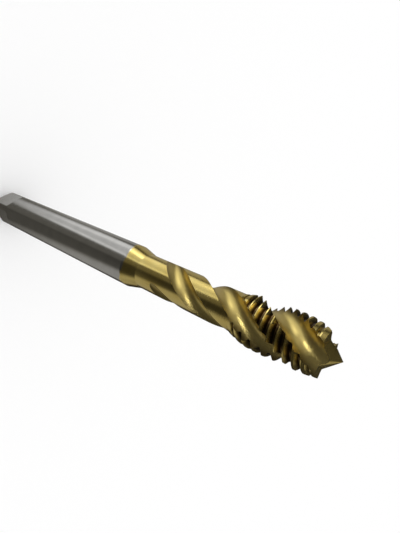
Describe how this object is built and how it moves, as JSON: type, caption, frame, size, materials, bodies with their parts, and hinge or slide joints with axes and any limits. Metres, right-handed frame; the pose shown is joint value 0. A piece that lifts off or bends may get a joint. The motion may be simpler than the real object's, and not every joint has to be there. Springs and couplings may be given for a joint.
{
  "type": "thread tap",
  "caption": "One-piece spiral-flute machine tap: ground cylindrical shank with a driving square, reduced neck and a gold-coated cutting end with a male centre.",
  "frame": {"origin": "centre of the driving square's end face, which the tap stands on", "axes": "+Z along the tap's axis, from the square to the point; +X and +Y towards flats of the square"},
  "size_m": [0.006, 0.006, 0.0705],
  "materials": {
    "tool_steel": "ground bright steel shank; shoulder, neck and thread have a gold-coloured hard coating"
  },
  "bodies": {
    "root": {"tap": "tool_steel"}
  },
  "joints": []
}
